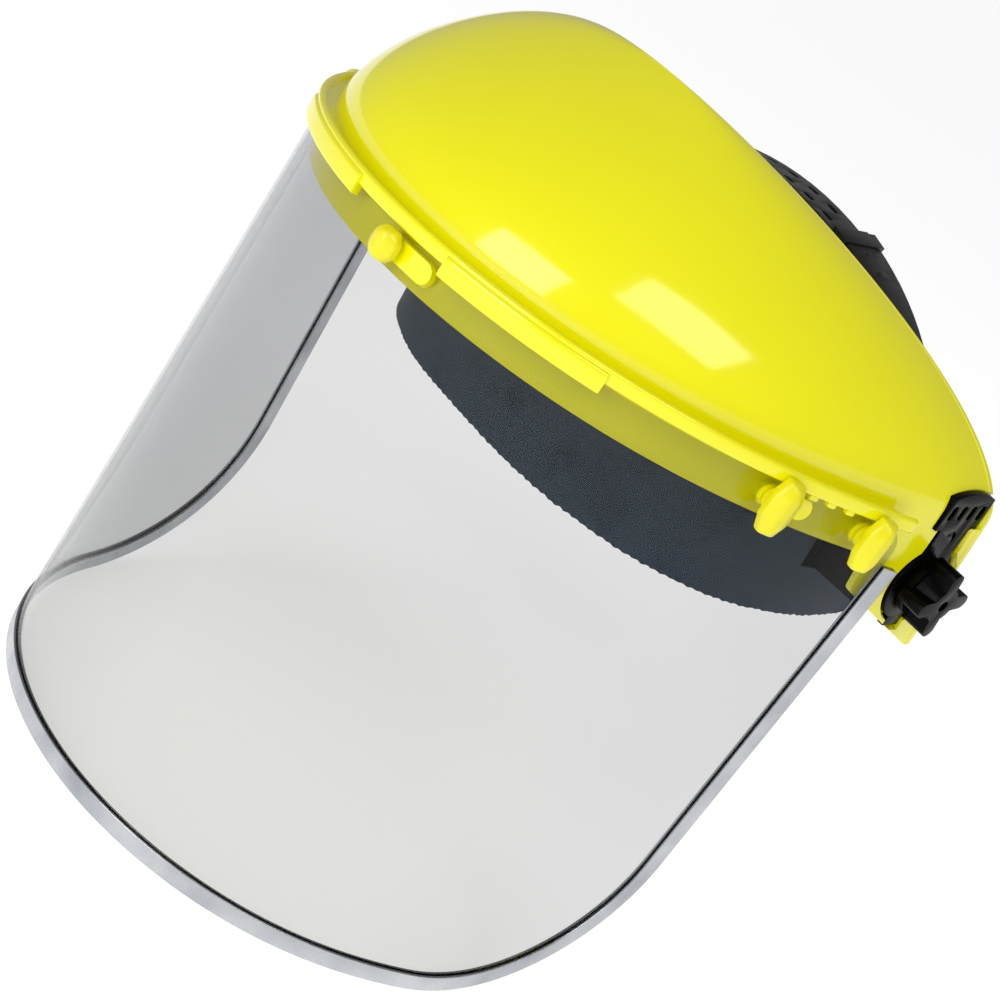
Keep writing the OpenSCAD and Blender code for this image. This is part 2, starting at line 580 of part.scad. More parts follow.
module arm_rivets() color("gray") headgear_frame() both_sides()
    for (f = ARM_FEET) translate([0, f[0], ARM_RIVET_LEVEL]) rivet(f[1], FOOT_FACE);

KNOB_UNDER = pivot_face + PLATE_THICKNESS + 0.4;
INSERT_DEPTH = 8;
BOLT_END = KNOB_UNDER + INSERT_DEPTH;
module pivot_bolt() {
    translate([ARM_FACE - ARM_WALL - 2.4, 0, 0]) along_x() cylinder(r = 7, h = 2.4);
    translate([ARM_FACE - ARM_WALL, -3, -3]) cube([ARM_WALL, 6, 6]);
    translate([ARM_FACE - ARM_WALL, 0, 0]) along_x()
        cylinder(r = bolt_radius, h = BOLT_END - ARM_FACE + ARM_WALL);
}
module pivot_bolt_left() color("silver") headgear_frame() pivot_bolt();
module pivot_bolt_right() color("silver") headgear_frame() mirror([1, 0, 0]) pivot_bolt();
module friction_washer() {
    translate([ARM_FACE, 0, 0]) along_x() difference() {
        cylinder(r = 13, h = PAD_INNER - ARM_FACE - 0.3);
        translate([0, 0, -1]) cylinder(r = bolt_radius + 0.15, h = 6);
    }
}
module friction_washer_left() color("dimgray") friction_washer();
module friction_washer_right() color("dimgray") mirror([1, 0, 0]) friction_washer();

KNOB_HEIGHT = 10.5;
KNOB_PHASE = 15;
INSERT_RADIUS = 4.4;
module pivot_knob() {
    translate([KNOB_UNDER, 0, 0]) along_x() difference() {
        union() {
            cylinder(r = 9.5, h = 3);
            cylinder(r1 = 8, r2 = 6, h = KNOB_HEIGHT);
            for (k = [0:3]) rotate(KNOB_PHASE + 90 * k) {
                translate([0, -2.6, 1.5]) cube([knob_radius - 2.6, 5.2, KNOB_HEIGHT - 1.5]);
                translate([knob_radius - 2.6, 0, 1.5]) cylinder(r = 2.6, h = KNOB_HEIGHT - 1.5, $fn = 32);
            }
        }
        translate([0, 0, -1]) cylinder(r = INSERT_RADIUS, h = INSERT_DEPTH + 1.3);
        cylinder(r = 2, h = 20, $fn = 32);
    }
}
module pivot_knob_left() color(BLACK) pivot_knob();
module pivot_knob_right() color(BLACK) mirror([1, 0, 0]) pivot_knob();
module knob_insert() {
    translate([KNOB_UNDER + 0.2, 0, 0]) along_x() difference() {
        cylinder(r = INSERT_RADIUS - 0.02, h = INSERT_DEPTH);
        translate([0, 0, -1]) cylinder(r = bolt_radius + 0.05, h = 12);
    }
}
module knob_insert_left() color("goldenrod") knob_insert();
module knob_insert_right() color("goldenrod") mirror([1, 0, 0]) knob_insert();

// ---- ratchet -----------------------------------------------------------
// Places along the nape frame's Y axis, from the head outward
PAD_BACK = 84.5;
BASE_BACK = 86.5;
RACK_LEFT_FROM = 87;
RACK_RIGHT_FROM = 89;
RACK_THICK = 1.6;
COVER_FRONT = 91;
COVER_BACK = 93.4;
KNOB_FRONT = 94;
KNOB_DEPTH = 14;
HOUSING = [92, 34];
SCREW_SPOTS = [[-40, -13], [-40, 13], [40, -13], [40, 13]];
// Children are drawn facing the wearer's back: X across, Y up, Z rearward from the given place
module facing_back(y) { nape_frame() translate([0, y, 0]) rotate([90, 0, 180]) children(); }

module ratchet_housing() color(BLACK) facing_back(PAD_BACK) difference() {
    linear_extrude(COVER_FRONT - PAD_BACK) rounded_bar(HOUSING, 9);
    translate([0, 0, BASE_BACK - PAD_BACK]) linear_extrude(20) rounded_bar([HOUSING[0] - 18, 24], 3);
    for (sx = [-1, 1]) translate([sx * 45 - 12, -9.2, BASE_BACK - PAD_BACK]) cube([24, 18.4, 20]);
    for (p = SCREW_SPOTS) translate([p[0], p[1], -1]) cylinder(r = 1.5, h = 20, $fn = 24);
    translate([0, 0, -1]) cylinder(r = 2.6, h = 10, $fn = 32);
}
module ratchet_cover() color(BLACK) facing_back(COVER_FRONT) difference() {
    linear_extrude(COVER_BACK - COVER_FRONT) rounded_bar(HOUSING, 9);
    translate([0, 0, -1]) cylinder(r = 4.3, h = 10, $fn = 32);
    for (p = SCREW_SPOTS) translate([p[0], p[1], -1]) cylinder(r = 1.5, h = 20, $fn = 24);
}
module cover_screws() color("silver") facing_back(PAD_BACK + 0.6) for (p = SCREW_SPOTS)
    translate([p[0], p[1], 0]) {
        cylinder(r = 1.45, h = COVER_BACK - PAD_BACK - 0.6, $fn = 24);
        translate([0, 0, COVER_BACK - PAD_BACK - 0.6]) cylinder(r1 = 2.8, r2 = 2, h = 0.9, $fn = 24);
    }
module nape_pad() color([0.2, 0.22, 0.25]) facing_back(PAD_BACK - 6)
    linear_extrude(6) rounded_bar([84, 30], 10);

// One toothed strip; its teeth stand on the slot's upper edge and the strip reaches towards +X
PINION_TIP = pinion_pitch + 0.9;
TOOTH_PITCH = 2 * PI * pinion_pitch / pinion_teeth;
module rack_profile() {
    slot = [-10.6, 14.6];
    root = pinion_pitch + 1.25;
    difference() {
        translate([-16, -8.2]) square([50, 16.4]);
        translate([slot[0], -PINION_TIP - 0.35]) square([slot[1] - slot[0], root + PINION_TIP + 0.35]);
    }
    for (k = [-3:4]) let (x = (k - 0.5) * TOOTH_PITCH)
        polygon([
            [x - 0.75, root + 0.1], [x - 0.28, pinion_pitch - 0.75],
            [x + 0.28, pinion_pitch - 0.75], [x + 0.75, root + 0.1]]);
}
module rack_at(y)
    nape_frame() translate([0, y + RACK_THICK, 0]) rotate([90, 0, 0])
        linear_extrude(RACK_THICK) children();
module rack_left() color([0.16, 0.16, 0.17]) rack_at(RACK_LEFT_FROM) rack_profile();
module rack_right() color([0.16, 0.16, 0.17]) rack_at(RACK_RIGHT_FROM) rotate(180) rack_profile();

module ratchet_pinion() color("dimgray") facing_back(BASE_BACK + 0.3) difference() {
    union() {
        linear_extrude(COVER_FRONT - BASE_BACK - 0.6) {
            circle(3.9, $fn = 40);
            for (k = [0:pinion_teeth - 1]) rotate(90 + k * 360 / pinion_teeth)
                polygon([[3.4, -0.95], [PINION_TIP - 0.15, -0.3], [PINION_TIP - 0.15, 0.3], [3.4, 0.95]]);
        }
        cylinder(r = 4, h = KNOB_FRONT - BASE_BACK + 5.7, $fn = 40);
        translate([0, 0, -2]) cylinder(r = 2.4, h = 3, $fn = 32);
    }
    translate([0, 0, 4]) cylinder(r = 1.3, h = 20, $fn = 24);
}
module ratchet_knob() color(BLACK) facing_back(KNOB_FRONT) difference() {
    union() {
        cylinder(r = ratchet_knob_radius - 1.5, h = KNOB_DEPTH);
        for (k = [0:17]) rotate(k * 20) translate([ratchet_knob_radius - 1.8, 0, 1.5])
            cylinder(r = 1.8, h = KNOB_DEPTH - 2.5, $fn = 24);
    }
    translate([0, 0, -1]) cylinder(r = 4.03, h = 7.2, $fn = 40);
    translate([0, 0, KNOB_DEPTH - 4]) cylinder(r = 4.5, h = 6, $fn = 40);
    cylinder(r = 1.6, h = 20, $fn = 24);
}
module knob_screw() color("silver") facing_back(KNOB_FRONT) {
    translate([0, 0, KNOB_DEPTH - 4]) cylinder(r = 3.4, h = 1.8, $fn = 32);
    translate([0, 0, 1]) cylinder(r = 1.25, h = KNOB_DEPTH - 5, $fn = 24);
}

brow_guard();
visor();
visor_binding();
stop_plate_left();
stop_plate_right();
latch_centre();
latch_left_front();
latch_left_rear();
latch_right_front();
latch_right_rear();
headband();
sweatband();
sweatband_flap();
crown_strap_left();
crown_strap_right();
strap_rivets();
pivot_arm_left();
pivot_arm_right();
arm_rivets();
pivot_bolt_left();
pivot_bolt_right();
friction_washer_left();
friction_washer_right();
pivot_knob_left();
pivot_knob_right();
knob_insert_left();
knob_insert_right();
ratchet_housing();
ratchet_cover();
cover_screws();
nape_pad();
rack_left();
rack_right();
ratchet_pinion();
ratchet_knob();
knob_screw();
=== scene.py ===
"""Looks of a face shield: brow guard, clear bound visor and ratchet headgear.

Lengths in the shape functions are millimetres in the part's own frame: X to the wearer's left,
-Y to the front, Z up, origin in the middle of the tilt axis. Meshes are scaled to metres at the end.
"""
import json
import math

import bmesh
import bpy
import numpy as np
from mathutils import Matrix, Vector

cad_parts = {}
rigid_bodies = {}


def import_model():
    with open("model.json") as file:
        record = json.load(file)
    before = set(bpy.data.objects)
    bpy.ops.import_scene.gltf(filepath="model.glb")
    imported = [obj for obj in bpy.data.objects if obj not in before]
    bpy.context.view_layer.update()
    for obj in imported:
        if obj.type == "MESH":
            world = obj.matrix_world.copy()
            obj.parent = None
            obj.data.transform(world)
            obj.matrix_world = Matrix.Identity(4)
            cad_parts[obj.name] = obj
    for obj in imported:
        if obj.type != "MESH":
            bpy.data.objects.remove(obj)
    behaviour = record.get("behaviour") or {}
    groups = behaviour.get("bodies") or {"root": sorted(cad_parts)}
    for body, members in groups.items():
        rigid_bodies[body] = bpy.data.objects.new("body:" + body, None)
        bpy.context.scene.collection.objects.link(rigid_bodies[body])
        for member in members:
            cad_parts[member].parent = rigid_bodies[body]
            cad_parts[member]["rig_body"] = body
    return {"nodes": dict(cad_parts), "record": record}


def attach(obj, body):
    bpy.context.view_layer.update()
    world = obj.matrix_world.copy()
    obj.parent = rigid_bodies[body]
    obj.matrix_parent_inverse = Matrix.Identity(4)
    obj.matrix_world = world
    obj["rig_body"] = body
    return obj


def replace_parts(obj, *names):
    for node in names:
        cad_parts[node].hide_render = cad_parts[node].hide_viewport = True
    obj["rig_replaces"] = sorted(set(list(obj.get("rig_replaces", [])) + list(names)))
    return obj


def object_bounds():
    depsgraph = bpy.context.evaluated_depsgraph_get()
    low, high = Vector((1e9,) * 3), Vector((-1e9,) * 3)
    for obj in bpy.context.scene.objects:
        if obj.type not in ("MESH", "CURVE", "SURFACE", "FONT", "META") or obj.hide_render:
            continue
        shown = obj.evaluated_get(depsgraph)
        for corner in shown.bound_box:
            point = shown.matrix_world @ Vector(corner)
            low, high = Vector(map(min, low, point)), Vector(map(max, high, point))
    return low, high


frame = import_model()
cad_low, cad_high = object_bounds()
MM = 0.001

# ---- driving dimensions, as in the part ---------------------------------------
SHELL_CURVE = (1 / 104, 76.6, 154.7, 0.004)
VISOR_TOP_CURVE = (1 / 107.5, 90, 213, -0.002)
VISOR_BOTTOM_CURVE = (1 / 103, 92, 233, -0.0026)
VISOR_FLARE = 1.0256
SHELL_FRONT = 151
VISOR_FRONT = SHELL_FRONT + 3
VISOR_TOP, VISOR_HEIGHT, VISOR_HALF, VISOR_CORNER = 16.9, 199, 195, 63
VISOR_THICKNESS = 1.0
BINDING_START, BINDING_WIDTH, BINDING_WALL = 4.5, 6.0, 0.7
SHELL_WALL, SHELL_END = 2.2, 225
DOME_BASE, DOME_RISE, DOME_PEAK, DOME_POWER = 25.2, 59.8, 87.7, 1.212
STRIP_BOTTOM, STRIP_REACH = 4.8, 181
TAB_FRONT, TAB_TOP, TAB_TIP, TAB_SLOPE, REAR_LEAN = 184.5, -8, -22.5, 0.312, 10
LIP_BOTTOM, LIP_REACH, LIP_HALF = 18, 6.5, 182
SKIRT_SPANS = ((-73, -15.5), (22, 73))
NIB_PLACES = (142, 149, 156.5)
LATCH_PLACES = {"latch_centre": 4.5, "latch_left_front": 135.5, "latch_left_rear": 172.5,
                "latch_right_front": -135.5, "latch_right_rear": -172.5}
BOSSES = ((10, 7.5), (140.5, 6), (176, 4.6), (-140.5, 6), (-176, 4.6))
LATCH_HEIGHT, LATCH_LENGTH = 12, 17.5
PIVOT_FACE, PLATE_THICKNESS, PLATE_LEAN, PAD_RADIUS = 117, 2.4, 7, 16
PAD_INNER = 114.5
BAND_TILT, NAPE_SLOPE = 5.7, 12
BAND_HALF, BAND_FRONT, BAND_MIDDLE, BAND_LEVEL = 91, 87, 17, -11


# ---- meshes ----------------------------------------------------------------------
def add_piece(name, verts, faces, body=None, replaces=(), slot=None, sharp=32):
    """Makes a mesh object from points in millimetres, with outward faces and smooth shading."""
    mesh = bpy.data.meshes.new(name)
    points = [Vector(v) * MM for v in np.asarray(verts, float)]
    mesh.from_pydata(points, [], [list(map(int, f)) for f in faces])
    clean(mesh, sharp)
    piece = bpy.data.objects.new(name, mesh)
    bpy.context.scene.collection.objects.link(piece)
    if body:
        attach(piece, body)
    if replaces:
        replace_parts(piece, *replaces)
    if slot:
        piece.data.materials.append(material(slot))
    return piece


def clean(mesh, sharp=32):
    """Merges coincident points, turns every face outward and smooths all but the sharp edges."""
    work = bmesh.new()
    work.from_mesh(mesh)
    bmesh.ops.remove_doubles(work, verts=work.verts, dist=1e-6)
    bmesh.ops.dissolve_degenerate(work, edges=work.edges, dist=1e-7)
    bmesh.ops.recalc_face_normals(work, faces=work.faces)
    work.to_mesh(mesh)
    work.free()
    mesh.shade_smooth()
    mesh.set_sharp_from_angle(angle=math.radians(sharp))


def freeze(piece, sharp=32):
    """Applies the modifiers of a piece to its mesh."""
    bpy.context.view_layer.update()
    done = piece.evaluated_get(bpy.context.evaluated_depsgraph_get())
    mesh = bpy.data.meshes.new_from_object(done)
    piece.modifiers.clear()
    piece.data = mesh
    mesh.shade_smooth()
    mesh.set_sharp_from_angle(angle=math.radians(sharp))


def bevel(piece, width, segments=3, angle=35, sharp=32):
    edge = piece.modifiers.new("bevel", "BEVEL")
    edge.width = width * MM
    edge.segments = segments
    edge.limit_method = "ANGLE"
    edge.angle_limit = math.radians(angle)
    edge.use_clamp_overlap = True
    edge.harden_normals = False
    freeze(piece, sharp)


def boolean(piece, tool, operation="DIFFERENCE", sharp=32):
    """Cuts or joins a closed tool mesh; the tool is removed afterwards."""
    cut = piece.modifiers.new("boolean", "BOOLEAN")
    cut.operation = operation
    cut.solver = "EXACT"
    cut.object = tool
    freeze(piece, sharp)
    bpy.data.objects.remove(tool)


def merge(name, parts):
    """One object that holds the meshes of several."""
    work = bmesh.new()
    for part in parts:
        work.from_mesh(part.data)
    keep = parts[0]
    work.to_mesh(keep.data)
    work.free()
    for part in parts[1:]:
        bpy.data.objects.remove(part)
    keep.name = name
    return keep


def grid_faces(rows, columns, start=0):
    return [(start + i * columns + j, start + i * columns + j + 1,
             start + (i + 1) * columns + j + 1, start + (i + 1) * columns + j)
            for i in range(rows - 1) for j in range(columns - 1)]


def sheet_solid(outer, inner):
    """Points and faces of a closed sheet between an outer and an inner grid of points."""
    rows, columns = outer.shape[:2]
    count = rows * columns
    rim = ([j for j in range(columns)] + [i * columns + columns - 1 for i in range(1, rows)]
           + [(rows - 1) * columns + j for j in range(columns - 2, -1, -1)]
           + [i * columns for i in range(rows - 2, 0, -1)])
    faces = grid_faces(rows, columns) + [f[::-1] for f in grid_faces(rows, columns, count)]
    faces += [(a, b, b + count, a + count) for a, b in zip(rim, rim[1:] + rim[:1])]
    return np.concatenate([outer.reshape(-1, 3), inner.reshape(-1, 3)]), faces


def sweep_solid(rings, closed=False):
    """Points and faces of a closed outline carried along a path."""
    rings = np.asarray(rings, float)
    n, m = rings.shape[:2]
    faces = [(i * m + j, i * m + (j + 1) % m, (i + 1) % n * m + (j + 1) % m, (i + 1) % n * m + j)
             for i in range(n if closed else n - 1) for j in range(m)]
    if not closed:
        faces += [tuple(range(m - 1, -1, -1)), tuple(range((n - 1) * m, n * m))]
    return rings.reshape(-1, 3), faces


def rounded(points, radii, steps=4):
    """A closed outline with each corner turned into an arc of its own radius."""
    out = []
    points = [np.array(p, float) for p in points]
    if np.isscalar(radii):
        radii = [radii] * len(points)
    for k, (p, r) in enumerate(zip(points, radii)):
        to_last, to_next = points[k - 1] - p, points[(k + 1) % len(points)] - p
        to_last, to_next = to_last / np.linalg.norm(to_last), to_next / np.linalg.norm(to_next)
        if r <= 0:
            out.append(p)
            continue
        half = math.acos(max(-1, min(1, float(to_last @ to_next)))) / 2
        centre = p + (to_last + to_next) / np.linalg.norm(to_last + to_next) * r / math.sin(half)
        start, end = p + to_last * r / math.tan(half), p + to_next * r / math.tan(half)
        a, b = start - centre, end - centre
        turn = math.acos(max(-1, min(1, float(a @ b) / r / r)))
        for i in range(steps + 1):
            t = i / steps
            out.append(centre + (a * math.sin((1 - t) * turn) + b * math.sin(t * turn)) / math.sin(turn))
    return np.array(out)


def extruded(outline, low, high):
    """Points and faces of an outline in a plane, extruded along the third axis."""
    rings = [[(p[0], p[1], z) for p in outline] for z in (low, high)]
    return sweep_solid(rings)


def placed(verts, matrix):
    return np.asarray(verts, float) @ np.array(matrix.to_3x3()).T + np.array(matrix.translation)


def stadium(half, radius, steps=12):
    """Outline of a slot with round ends, along X."""
    angles = np.linspace(-math.pi / 2, math.pi / 2, steps)
    right = [(half + radius * math.cos(a), radius * math.sin(a)) for a in angles]
    return np.array(right + [(-x, -y) for x, y in right])


# ---- curves of the shell and the visor -----------------------------------------
def heading(curve, u):
    """Direction of a plan curve at arc length u, in radians."""
    front, eased, free, end = curve
    over = np.maximum(0, np.minimum(u, free) - eased)
    bend = front * np.minimum(u, free) + (end - front) * over ** 2 / (2 * (free - eased))
    return bend + end * np.maximum(0, u - free)


def trace(curve, reach=245):
    turns = heading(curve, np.arange(reach) + 0.5)
    steps = np.stack([np.cos(turns), np.sin(turns)], -1)
    return np.concatenate([[[0, 0]], np.cumsum(steps, 0)])


TRACES = {curve: trace(curve) for curve in (SHELL_CURVE, VISOR_TOP_CURVE, VISOR_BOTTOM_CURVE)}


def on_curve(curve, front, s, off=0):
    """X and Y of a plan curve at arc length s, moved outward by off."""
    s = np.asarray(s, float)
    u, line = np.abs(s), TRACES[curve]
    place = np.arange(len(line))
    h = heading(curve, u)
    x = np.interp(u, place, line[:, 0]) + off * np.sin(h)
    y = np.interp(u, place, line[:, 1]) - front - off * np.cos(h)
    return np.sign(s) * x, y


def shell_plan(u, off=0):
    return on_curve(SHELL_CURVE, SHELL_FRONT, u, off)


def visor_point(s, z, off=0):
    s, z = np.broadcast_arrays(np.asarray(s, float), np.asarray(z, float))
    w = (VISOR_TOP - z) / VISOR_HEIGHT
    top = on_curve(VISOR_TOP_CURVE, VISOR_FRONT, s, off)
    bottom = on_curve(VISOR_BOTTOM_CURVE, VISOR_FRONT + 2.2, s * VISOR_FLARE, off)
    return np.stack([top[0] * (1 - w) + bottom[0] * w, top[1] * (1 - w) + bottom[1] * w, z], -1)


def ease(t):
    t = np.clip(t, 0, 1)
    return t * t * (3 - 2 * t)


def dome_point(u, phi, inset, swell=0):
    """Point of the dome at arc length u and height angle phi; swell moves it outward in plan only."""
    x, y = shell_plan(u, swell - inset)
    c, s = np.cos(phi), np.sin(phi)
    z = DOME_BASE + (DOME_RISE - inset) * s ** DOME_POWER
    return np.stack([x * c, y * c * c - DOME_PEAK * s * s, np.broadcast_to(z, np.shape(x))], -1)


def wall_low(u):
    a = np.abs(u)
    front = STRIP_BOTTOM + (TAB_TOP - STRIP_BOTTOM) * ease((a - STRIP_REACH) / (TAB_FRONT - STRIP_REACH))
    return np.where(a < TAB_FRONT, front, np.maximum(TAB_TOP - (a - TAB_FRONT) * TAB_SLOPE, TAB_TIP))


def wall_foot(u, inset):
    v = u + np.sign(u) * REAR_LEAN * ease((np.abs(u) - 200) / (SHELL_END - 200))
    x, y = shell_plan(v, -inset)
    return np.stack([x, y, wall_low(v)], -1)


def latch_matrix(s, height=LATCH_HEIGHT):
    """Frame of a latch: Z points straight out of the visor, Y up."""
    h = float(np.sign(s) * heading(VISOR_TOP_CURVE, abs(s)))
    place = Vector(visor_point(s, height))
    return Matrix.Translation(place) @ Matrix.Rotation(h, 4, "Z") @ Matrix.Rotation(math.pi / 2, 4, "X")


def side_matrix(x, side):
    """Frame of a side pivot: Z points out along the tilt axis on that side, Y up, X to the rear."""
    turn = Matrix(((0, 0, side), (1, 0, 0), (0, 1, 0))).to_4x4()
    return Matrix.Translation((side * x, 0, 0)) @ turn


# ---- materials --------------------------------------------------------------------
MADE = {}


def new_material(name, **sockets):
    """A material whose shader sockets are set by name, with underscores for spaces."""
    made = bpy.data.materials.new(name)
    made.use_nodes = True
    shader = made.node_tree.nodes["Principled BSDF"]
    for socket, value in sockets.items():
        target = shader.inputs[socket.replace("_", " ")]
        target.default_value = (*value, 1) if target.type == "RGBA" else value
    return made


def add_node(made, kind, links=(), **values):
    """Adds a node; links are pairs of socket and source, values are sockets or settings."""
    node = made.node_tree.nodes.new(kind)
    for name, value in values.items():
        if name in node.inputs:
            node.inputs[name].default_value = value
        else:
            setattr(node, name, value)
    for socket, source in links:
        made.node_tree.links.new(source, node.inputs[socket])
    return node


def object_space(made, scale=(1, 1, 1)):
    """The piece's own coordinates, stretched by scale."""
    place = add_node(made, "ShaderNodeTexCoord")
    stretched = add_node(made, "ShaderNodeMapping", [("Vector", place.outputs["Object"])], Scale=scale)
    return stretched.outputs["Vector"]


def noise(made, scale, detail=3.0, roughness=0.5, vector=None):
    """Noise from 0 to 1 in the piece's own space, scale per metre."""
    vector = vector or object_space(made)
    node = add_node(made, "ShaderNodeTexNoise", [("Vector", vector)],
                    Scale=scale, Detail=detail, Roughness=roughness)
    return node.outputs["Fac"]


def remap(made, source, low, high, start=0.35, end=0.65):
    return add_node(made, "ShaderNodeMapRange", [("Value", source)], **{
        "From Min": start, "From Max": end, "To Min": low, "To Max": high}).outputs["Result"]


def colour_between(made, source, a, b, start=0.35, end=0.65):
    ramp = add_node(made, "ShaderNodeValToRGB", [("Fac", source)])
    ramp.color_ramp.elements[0].position, ramp.color_ramp.elements[0].color = start, (*a, 1)
    ramp.color_ramp.elements[1].position, ramp.color_ramp.elements[1].color = end, (*b, 1)
    return ramp.outputs["Color"]


def link(made, source, socket):
    made.node_tree.links.new(source, made.node_tree.nodes["Principled BSDF"].inputs[socket])


def bump(made, layers):
    """Stacks bump layers, each a height source and a depth in millimetres."""
    normal = None
    for source, depth in layers:
        node = add_node(made, "ShaderNodeBump", [("Height", source)], Distance=depth * MM, Strength=1.0)
        if normal is not None:
            made.node_tree.links.new(normal, node.inputs["Normal"])
        normal = node.outputs["Normal"]
    link(made, normal, "Normal")


def scratches(made, scale, stretch):
    """Thin streaks, long along one axis."""
    wide = noise(made, scale, 2, 0.6, object_space(made, stretch))
    return remap(made, wide, 0, 1, 0.62, 0.72)


def fluorescent_shell():
    # The emission is a painted glow: the shell gives off a faint, even yellow light of its own, which lifts
    # its shaded side.
    made = new_material("fluorescent_shell", Roughness=0.2, IOR=1.5, Coat_Weight=0.2, Coat_Roughness=0.05,
                        Emission_Strength=0.06, Emission_Color=(0.95, 0.9, 0.0))
    tint = colour_between(made, noise(made, 9, 2), (0.74, 0.70, 0.001), (0.78, 0.74, 0.002))
    link(made, tint, "Base Color")
    link(made, remap(made, noise(made, 60, 4), 0.1, 0.15), "Roughness")
    bump(made, [(noise(made, 90, 2), 0.03), (noise(made, 1400, 2), 0.002)])
    return made


def fluorescent_latch():
    # The emission is a painted glow: the latches give off a faint, even yellow light of their own, which lifts
    # their shaded sides.
    made = new_material("fluorescent_latch", Roughness=0.3, IOR=1.5, Subsurface_Weight=0.15,
                        Subsurface_Radius=(0.004, 0.003, 0.001), Subsurface_Scale=1.0,
                        Emission_Strength=0.06, Emission_Color=(0.95, 0.9, 0.0))
    tint = colour_between(made, noise(made, 60, 2), (0.70, 0.63, 0.002), (0.74, 0.68, 0.004))
    link(made, tint, "Base Color")
    link(made, remap(made, noise(made, 300, 3), 0.26, 0.36), "Roughness")
    bump(made, [(noise(made, 500, 3), 0.02)])
    return made


def clear_sheet():
    """A thin clear sheet: what is behind it shows through, greyer at a glance, under a sharp gloss."""
    made = new_material("clear_sheet", Roughness=0.03, IOR=1.5, Base_Color=(0.6, 0.61, 0.62))
    tree = made.node_tree
    facing = add_node(made, "ShaderNodeLayerWeight", Blend=0.5).outputs["Facing"]
    tint = colour_between(made, facing, (0.83, 0.83, 0.832), (0.75, 0.755, 0.765), 0.25, 1.0)
    through = add_node(made, "ShaderNodeBsdfTransparent", [("Color", tint)])
    hazy = remap(made, scratches(made, 60, (1, 1, 14)), 0.015, 0.05, 0, 1)
    gloss = add_node(made, "ShaderNodeBsdfGlossy", [("Roughness", hazy)], Color=(1, 1, 1, 1))
    steep = add_node(made, "ShaderNodeMath", [(0, facing)], operation="POWER")
    steep.inputs[1].default_value = 5
    share = remap(made, steep.outputs["Value"], 0.006, 0.6, 0, 1)
    mixed = add_node(made, "ShaderNodeMixShader")
    for source, socket in ((share, 0), (through.outputs["BSDF"], 1), (gloss.outputs["BSDF"], 2)):
        tree.links.new(source, mixed.inputs[socket])
    tree.links.new(mixed.outputs["Shader"], tree.nodes["Material Output"].inputs["Surface"])
    return made


def binding_metal():
    """Brushed aluminium, streaked along one axis."""
    made = new_material("binding_metal", Metallic=1.0, Roughness=0.26, Anisotropic=0.5)
    tint = colour_between(made, noise(made, 40, 3), (0.34, 0.355, 0.385), (0.5, 0.51, 0.535))
    link(made, tint, "Base Color")
    streaks = noise(made, 25, 5, 0.7, object_space(made, (40, 40, 3)))
    link(made, remap(made, streaks, 0.2, 0.36), "Roughness")
    bump(made, [(streaks, 0.012), (noise(made, 60, 2), 0.05)])
    return made


def black_plastic(name, low, high, tint, grain, depth, shine=0.3):
    """Moulded plastic: roughness from low to high, a grain of some scale and depth, and how much it shines."""
    made = new_material(name, IOR=1.45, Specular_IOR_Level=shine)
    paler = tuple(c * 1.35 + 0.0006 for c in tint)
    link(made, colour_between(made, noise(made, 45, 3), tint, paler), "Base Color")
    link(made, remap(made, noise(made, 220, 4), low, high), "Roughness")
    bump(made, [(noise(made, grain, 3, 0.6), depth), (noise(made, 70, 2), 0.03)])
    return made


def black_moulding():
    return black_plastic("black_moulding", 0.2, 0.3, (0.001, 0.001, 0.001), 2200, 0.02, 0.07)


def black_band():
    return black_plastic("black_band", 0.28, 0.36, (0.004, 0.004, 0.005), 900, 0.01, 0.25)


def ratchet_plastic():
    return black_plastic("ratchet_plastic", 0.42, 0.55, (0.006, 0.006, 0.007), 1500, 0.04, 0.2)


def rack_plastic():
    return black_plastic("rack_plastic", 0.28, 0.36, (0.035, 0.035, 0.038), 800, 0.01)


def washer_fibre():
    return black_plastic("washer_fibre", 0.6, 0.75, (0.05, 0.042, 0.035), 1200, 0.05)


def cloth(name, dark, light, weave_scale):
    """Soft cloth, cloudy between a dark and a light tone."""
    made = new_material(name, Roughness=0.9, Specular_IOR_Level=0.25, Sheen_Weight=0.18, Sheen_Roughness=0.4)
    fuzz = noise(made, weave_scale, 4, 0.75)
    cloud = noise(made, 55, 4, 0.6)
    blend = add_node(made, "ShaderNodeMath", [(0, fuzz), (1, cloud)], operation="ADD")
    link(made, colour_between(made, blend.outputs["Value"], dark, light, 0.7, 1.3), "Base Color")
    bump(made, [(cloud, 0.05), (fuzz, 0.02)])
    return made


def slate_fabric():
    return cloth("slate_fabric", (0.022, 0.033, 0.052), (0.046, 0.063, 0.093), 1500)


def nape_foam():
    return cloth("nape_foam", (0.02, 0.024, 0.028), (0.045, 0.05, 0.058), 1100)


def metal(name, dark, light, low, high):
    """Plain metal between two tones, its roughness from low to high."""
    made = new_material(name, Metallic=1.0)
    link(made, colour_between(made, noise(made, 130, 4), dark, light), "Base Color")
    link(made, remap(made, noise(made, 500, 3), low, high), "Roughness")
    bump(made, [(noise(made, 800, 3), 0.01)])
    return made


def rivet_metal():
    return metal("rivet_metal", (0.42, 0.42, 0.43), (0.55, 0.55, 0.56), 0.28, 0.42)


def bolt_steel():
    return metal("bolt_steel", (0.5, 0.5, 0.5), (0.64, 0.64, 0.66), 0.22, 0.36)


def insert_brass():
    return metal("insert_brass", (0.6, 0.44, 0.17), (0.75, 0.58, 0.28), 0.22, 0.34)


MAKERS = {maker.__name__: maker for maker in (
    fluorescent_shell, fluorescent_latch, clear_sheet, binding_metal, black_moulding, black_band,
    ratchet_plastic, rack_plastic, washer_fibre, slate_fabric, nape_foam, rivet_metal, bolt_steel,
    insert_brass)}


def material(slot):
    """The material of a slot, made when it is first asked for."""
    if slot not in MADE:
        MADE[slot] = MAKERS[slot]()
    return MADE[slot]


